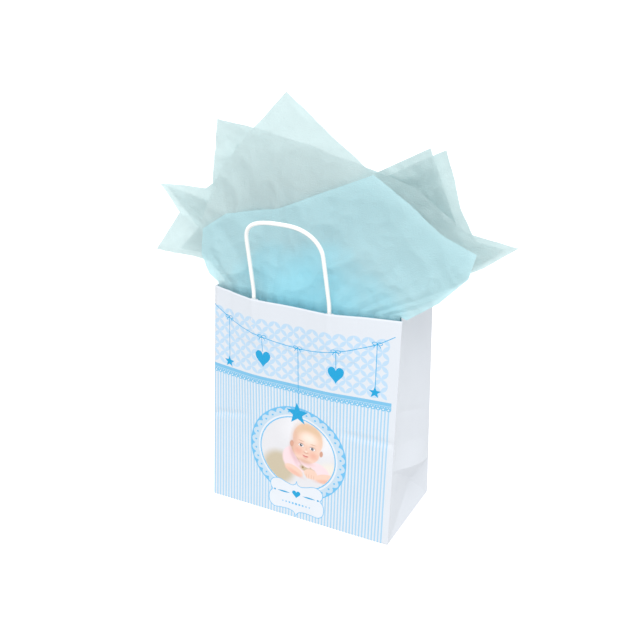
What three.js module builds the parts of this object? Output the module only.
// A flat-bottomed paper carrier bag with two twisted-paper cord handles and three tissue sheets.
// Units are millimetres, +Z is up, the front panel faces -Y, and the bag stands on z = 0.
import * as THREE from 'three';

// ---- driving dimensions -------------------------------------------------------------------
const BAG = { width: 200, depth: 100, height: 240, wall: 1.2 };

// Mouth corners in plan. The opened bag leans a little to +X and its mouth is narrower than
// its foot, because the side gussets keep part of their inward fold.
const MOUTH = {
  frontLeft: [-82, -46],
  frontRight: [111, -46],
  rearRight: [103, 44.5],
  rearLeft: [-92, 44.5],
};

const FRONT_BULGE = 12;
const REAR_BULGE = 8;
const LEG_BULGE = 3;
const LEG_BULGE_HALF_WIDTH = 0.12;
const BULGE_SKEW = 0.865;
const GUSSET_BOW = 9;

// Fold lines of the gusset's foot: v runs from the front edge to the rear edge, z in mm.
const FOOT_FOLD = { front: 85, rear: 44, ridge: 2.5 };
const FOOT_POCKET = { v: 0.68, z: 26, depth: 4 };

const CORD = { radius: 1.9, spacing: 78, rise: 81, sides: 14 };
const HANDLES = {
  front: { side: -1, lean: 9, centreX: 5.8 },
  rear: { side: 1, lean: 8, centreX: -3.5 },
};
const HINGE_ABOVE_RIM = 2.5;
const GAP = 0.3;
const CORD_END_LENGTH = 38;

const PATCH = { width: 132, height: 44, thickness: 0.6, belowRim: 2 };
const BUMP = { flat: 2.6, foot: 5.5 };

const TISSUE_THICKNESS = 1.6;
const NECK_Z = 244;

const COLOURS = {
  paper: 0xf1f4f8,
  cord: 0xf4f4f2,
  patch: 0xeceff2,
  tissue: 0xa6dfe6,
};

// ---- small helpers ------------------------------------------------------------------------
const lerp = (a, b, t) => a + (b - a) * t;
const clamp01 = (t) => Math.min(1, Math.max(0, t));
const bell = (t, halfWidth) => Math.exp(-((t / halfWidth) ** 2));
const radians = (degrees) => (degrees * Math.PI) / 180;

/** Signed volume of an indexed geometry, used to turn its faces outward. */
function signedVolume(positions, index) {
  const a = new THREE.Vector3();
  const b = new THREE.Vector3();
  const c = new THREE.Vector3();
  let total = 0;
  for (let i = 0; i < index.length; i += 3) {
    a.fromArray(positions, index[i] * 3);
    b.fromArray(positions, index[i + 1] * 3);
    c.fromArray(positions, index[i + 2] * 3);
    total += a.dot(b.clone().cross(c)) / 6;
  }
  return total;
}

/** Triangles that close one end loop by pairing its points from both sides. */
function capTriangles(start, count) {
  const triangles = [];
  let low = 0;
  let high = count - 1;
  while (high - low > 1) {
    triangles.push([start + low, start + low + 1, start + high]);
    low += 1;
    if (high - low > 1) {
      triangles.push([start + low, start + high - 1, start + high]);
      high -= 1;
    }
  }
  return triangles;
}

/** Closed solid skinned over a list of loops that all have the same number of points. */
function loft(loops) {
  const count = loops[0].length;
  const positions = loops.flat(2);
  const index = [];
  for (let j = 0; j + 1 < loops.length; j += 1) {
    for (let i = 0; i < count; i += 1) {
      const next = (i + 1) % count;
      const a = j * count + i;
      const b = j * count + next;
      index.push(a, b, b + count, a, b + count, a + count);
    }
  }
  for (const [a, b, c] of capTriangles(0, count)) index.push(a, c, b);
  for (const [a, b, c] of capTriangles((loops.length - 1) * count, count)) index.push(a, b, c);
  if (signedVolume(positions, index) < 0) {
    for (let i = 0; i < index.length; i += 3) {
      [index[i + 1], index[i + 2]] = [index[i + 2], index[i + 1]];
    }
  }
  const geometry = new THREE.BufferGeometry();
  geometry.setAttribute('position', new THREE.Float32BufferAttribute(positions, 3));
  geometry.setIndex(index);
  geometry.computeVertexNormals();
  return geometry;
}

/** Evenly spaced numbers from a to b, both included. */
function spread(a, b, count) {
  return Array.from({ length: count }, (_, i) => lerp(a, b, i / (count - 1)));
}

// ---- shape of the opened bag ---------------------------------------------------------------
const FOOT = {
  frontLeft: [-BAG.width / 2, -BAG.depth / 2],
  frontRight: [BAG.width / 2, -BAG.depth / 2],
  rearRight: [BAG.width / 2, BAG.depth / 2],
  rearLeft: [-BAG.width / 2, BAG.depth / 2],
};

/** Plan position of one upright edge of the bag at height z. */
function corner(name, z) {
  const t = z / BAG.height;
  return [lerp(FOOT[name][0], MOUTH[name][0], t), lerp(FOOT[name][1], MOUTH[name][1], t)];
}

/** Share of a panel's width at which the two cord legs stand. */
function legShares() {
  const left = HANDLES.front.centreX - CORD.spacing / 2;
  const span = MOUTH.frontRight[0] - MOUTH.frontLeft[0];
  const u = (left - MOUTH.frontLeft[0]) / span;
  return [u, u + CORD.spacing / span];
}

/** How far a broad panel bulges outward at width share u and height z. */
function panelBulge(u, z, amount) {
  const rise = (z / BAG.height) ** 1.6;
  const arch = Math.sin(Math.PI * clamp01(u) ** BULGE_SKEW);
  const legs = legShares().reduce((sum, leg) => sum + bell(u - leg, LEG_BULGE_HALF_WIDTH), 0);
  return rise * (amount * arch + LEG_BULGE * legs);
}

/** Outer y of the front (side -1) or rear (side 1) panel at x and z. */
function panelY(side, x, z) {
  const [left, right] = side < 0 ? ['frontLeft', 'frontRight'] : ['rearLeft', 'rearRight'];
  const a = corner(left, z);
  const b = corner(right, z);
  const u = (x - a[0]) / (b[0] - a[0]);
  const amount = side < 0 ? FRONT_BULGE : REAR_BULGE;
  return lerp(a[1], b[1], u) + side * panelBulge(u, z, amount);
}

/** Outward offset of a gusset at depth share v and height z: bowed in above, folded below. */
function gussetOffset(v, z) {
  const bow = -GUSSET_BOW * Math.sin(Math.PI * v) * clamp01((z - 70) / 120);
  const fold = lerp(FOOT_FOLD.front, FOOT_FOLD.rear, v);
  const ridge = FOOT_FOLD.ridge * Math.sin(Math.PI * v) * clamp01(1 - Math.abs(z - fold) / 40);
  const reach = Math.max(Math.abs(v - FOOT_POCKET.v) / 0.45, Math.abs(z - FOOT_POCKET.z) / 26);
  const pocket = -FOOT_POCKET.depth * clamp01(1 - reach);
  return bow + ridge + pocket;
}

/** One closed loop around the bag at height z, moved inward by inset. */
function bagLoop(z, inset) {
  const across = 24;
  const along = 10;
  const [fl, fr, rr, rl] = ['frontLeft', 'frontRight', 'rearRight', 'rearLeft'].map((n) => corner(n, z));
  const loop = [];
  for (let i = 0; i < across; i += 1) {
    const x = lerp(fl[0] + inset, fr[0] - inset, i / across);
    loop.push([x, panelY(-1, x, z) + inset, z]);
  }
  for (let i = 0; i < along; i += 1) {
    const v = i / along;
    const y = lerp(fr[1] + inset, rr[1] - inset, v);
    loop.push([lerp(fr[0], rr[0], v) - inset + gussetOffset(v, z), y, z]);
  }
  for (let i = 0; i < across; i += 1) {
    const x = lerp(rr[0] - inset, rl[0] + inset, i / across);
    loop.push([x, panelY(1, x, z) - inset, z]);
  }
  for (let i = 0; i < along; i += 1) {
    const v = 1 - i / along;
    const y = lerp(rl[1] - inset, fl[1] + inset, i / along);
    loop.push([lerp(fl[0], rl[0], v) + inset - gussetOffset(v, z), y, z]);
  }
  return loop;
}

/** The folded paper sheet: four walls and the flat foot in one piece, open at the top. */
function paperBag() {
  const heights = [0, 13, 26, 44, 64, 85, 105, 125, 150, 180, 210, 225, BAG.height];
  const inner = heights.map((z) => Math.max(z, BAG.wall)).map((z) => bagLoop(z, BAG.wall));
  const outer = heights.map((z) => bagLoop(z, 0)).reverse();
  return loft([...inner, ...outer]);
}

// ---- handles -------------------------------------------------------------------------------
const CORD_DEPTH = BAG.wall + GAP + PATCH.thickness + GAP + CORD.radius;
const HINGE_Z = BAG.height + HINGE_ABOVE_RIM;

/** X of both legs of a handle. */
function legXs({ centreX }) {
  return [centreX - CORD.spacing / 2, centreX + CORD.spacing / 2];
}

/** Y of the cord's centre line where it leaves the mouth, halfway between both legs. */
function hingeY(handle) {
  const [left, right] = legXs(handle).map((x) => panelY(handle.side, x, BAG.height));
  return (left + right) / 2 - handle.side * CORD_DEPTH;
}

/** Round loop of points about a centre, in the plane across a unit direction. */
function cordLoop(centre, direction, radius) {
  const across = new THREE.Vector3(0, 1, 0);
  if (Math.abs(direction.y) > 0.9) across.set(1, 0, 0);
  const u = across.clone().cross(direction).normalize();
  const w = direction.clone().cross(u);
  return Array.from({ length: CORD.sides }, (_, i) => {
    const a = (2 * Math.PI * i) / CORD.sides;
    const p = centre.clone().addScaledVector(u, radius * Math.cos(a));
    return p.addScaledVector(w, radius * Math.sin(a)).toArray();
  });
}

/** Cord with half-round ends along a list of centre points. */
function cord(points) {
  const r = CORD.radius;
  const last = points.length - 1;
  const direction = (i) => {
    const from = points[Math.max(i - 1, 0)];
    return points[Math.min(i + 1, last)].clone().sub(from).normalize();
  };
  const dome = [8, 35, 62].map((degrees) => radians(degrees));
  const endLoop = (i, sign, a) => {
    const centre = points[i].clone().addScaledVector(direction(i), sign * r * Math.cos(a));
    return cordLoop(centre, direction(i), r * Math.sin(a));
  };
  const loops = [
    ...dome.map((a) => endLoop(0, -1, a)),
    ...points.map((p, i) => cordLoop(p, direction(i), r)),
    ...[...dome].reverse().map((a) => endLoop(last, 1, a)),
  ];
  return loft(loops);
}

/** The free loop of one handle, from leg to leg, leaning outward from the mouth. */
function handleLoop(handle) {
  const half = CORD.spacing / 2;
  const crown = 29;
  const straight = CORD.rise - crown;
  const flat = [];
  for (const t of spread(0, straight, 6)) flat.push([-half + (half * 0.02 * t) / straight, t]);
  for (const a of spread(0, Math.PI, 17).slice(1, -1)) {
    flat.push([-half * 0.98 * Math.cos(a), straight + crown * Math.sin(a) ** 0.85]);
  }
  for (const t of spread(straight, 0, 6)) flat.push([half - (half * 0.02 * t) / straight, t]);
  const tilt = radians(handle.lean);
  const points = flat.map(([s, t]) => new THREE.Vector3(
    handle.centreX + s,
    hingeY(handle) + handle.side * t * Math.sin(tilt),
    HINGE_Z + t * Math.cos(tilt),
  ));
  return cord(points);
}

/** One glued end of a cord, held between the two patches below the rim. */
function cordEnd(side, x) {
  const top = HINGE_Z - 2 * CORD.radius - GAP;
  const centre = (z) => panelY(side, x, z) - side * CORD_DEPTH;
  return cord(spread(top - CORD_END_LENGTH, top, 5).map((z) => new THREE.Vector3(x, centre(z), z)));
}

/** Depth of the inner patch's outer skin behind the panel, raised over both cord ends. */
function bumpDepth(handle, x) {
  const flush = BAG.wall + 2 * GAP + PATCH.thickness;
  const over = CORD_DEPTH + CORD.radius + GAP;
  const nearest = Math.min(...legXs(handle).map((leg) => Math.abs(x - leg)));
  return lerp(over, flush, clamp01((nearest - BUMP.flat) / (BUMP.foot - BUMP.flat)));
}

/** X positions across a patch, with extra ones where it rises over a cord. */
function patchXs(handle) {
  const half = PATCH.width / 2;
  const xs = spread(handle.centreX - half, handle.centreX + half, 18);
  for (const leg of legXs(handle)) {
    for (const d of [BUMP.flat, BUMP.foot]) xs.push(leg - d, leg + d);
  }
  return xs.sort((a, b) => a - b);
}

/** A paper patch glued inside the mouth; depthAt gives its near skin behind the panel. */
function patch(handle, depthAt) {
  const { side } = handle;
  const xs = patchXs(handle);
  const top = BAG.height - PATCH.belowRim;
  return loft(spread(top - PATCH.height, top, 5).map((z) => {
    const skin = (x, extra) => [x, panelY(side, x, z) - side * (depthAt(x) + extra), z];
    const near = xs.map((x) => skin(x, 0));
    const far = xs.map((x) => skin(x, PATCH.thickness)).reverse();
    return [...near, ...far];
  }));
}

// ---- tissue sheets --------------------------------------------------------------------------
// Each sheet stands in its own layer of y: a foot line deep in the bag, a neck line at the mouth
// and a crown line through its corners, from left to right.
const SHEETS = {
  tissue_front: {
    foot: [[-62, -30], [78, -30], 62],
    neck: [[-74, -45], [103, -45]],
    crown: [
      [-101, -38, 270], [-100, -35, 300], [-78, -30, 350], [-44, -25, 389], [-10, -21, 424],
      [30, -23, 393], [74, -26, 362], [106, -29, 342], [136, -32, 320], [171, -34, 307],
      [166, -36, 287],
    ],
  },
  tissue_middle: {
    foot: [[-62, 0], [72, 0], 62],
    neck: [[-70, -4], [90, -4]],
    crown: [
      [-174, -12, 250], [-144, -8, 292], [-169, -2, 317], [-116, 0, 318], [-80, 2, 345],
      [-20, 2, 372], [40, 2, 362], [100, 2, 346], [150, 0, 312], [197, -2, 306],
      [168, -6, 284],
    ],
  },
  tissue_rear: {
    foot: [[-62, 26], [70, 26], 62],
    neck: [[-74, 30], [88, 30]],
    crown: [
      [-118, 24, 268], [-122, 22, 318], [-110, 20, 382], [-66, 20, 377], [-10, 22, 366],
      [53, 20, 347], [108, 20, 377], [119, 22, 374], [134, 20, 322], [150, 22, 290],
      [132, 26, 268],
    ],
  },
};

/** Point on a crown line at share u of its corners. */
function crownPoint(crown, u) {
  const place = u * (crown.length - 1);
  const i = Math.min(Math.floor(place), crown.length - 2);
  return crown[i].map((a, axis) => lerp(a, crown[i + 1][axis], place - i));
}

/** One gathered sheet, from its foot line through the mouth to its spread corners. */
function tissueSheet({ foot, neck, crown }) {
  const us = spread(0, 1, 2 * (crown.length - 1) + 1);
  const below = spread(0, 1, 5).map((w) => us.map((u) => [
    lerp(lerp(foot[0][0], foot[1][0], u), lerp(neck[0][0], neck[1][0], u), w),
    lerp(foot[0][1], neck[0][1], w),
    lerp(foot[2], NECK_Z, w),
  ]));
  const above = spread(0, 1, 8).slice(1).map((w) => us.map((u) => {
    const start = [lerp(neck[0][0], neck[1][0], u), neck[0][1], NECK_Z];
    return crownPoint(crown, u).map((end, axis) => lerp(start[axis], end, w));
  }));
  const half = TISSUE_THICKNESS / 2;
  return loft([...below, ...above].map((row) => [
    ...row.map(([x, y, z]) => [x, y - half, z]),
    ...row.map(([x, y, z]) => [x, y + half, z]).reverse(),
  ]));
}

// ---- assembly --------------------------------------------------------------------------------
const group = new THREE.Group();
group.name = 'gift_bag';

function add(name, geometry, colour) {
  const material = new THREE.MeshStandardMaterial({ color: colour, roughness: 0.8, metalness: 0 });
  material.name = name;
  const mesh = new THREE.Mesh(geometry, material);
  mesh.name = name;
  group.add(mesh);
}

add('paper_bag', paperBag(), COLOURS.paper);

for (const [label, handle] of Object.entries(HANDLES)) {
  const [left, right] = legXs(handle);
  add(`${label}_handle`, handleLoop(handle), COLOURS.cord);
  add(`${label}_cord_end_left`, cordEnd(handle.side, left), COLOURS.cord);
  add(`${label}_cord_end_right`, cordEnd(handle.side, right), COLOURS.cord);
  add(`${label}_patch_outer`, patch(handle, () => BAG.wall + GAP), COLOURS.patch);
  add(`${label}_patch_inner`, patch(handle, (x) => bumpDepth(handle, x)), COLOURS.patch);
}

for (const [name, sheet] of Object.entries(SHEETS)) {
  add(name, tissueSheet(sheet), COLOURS.tissue);
}

export default group;
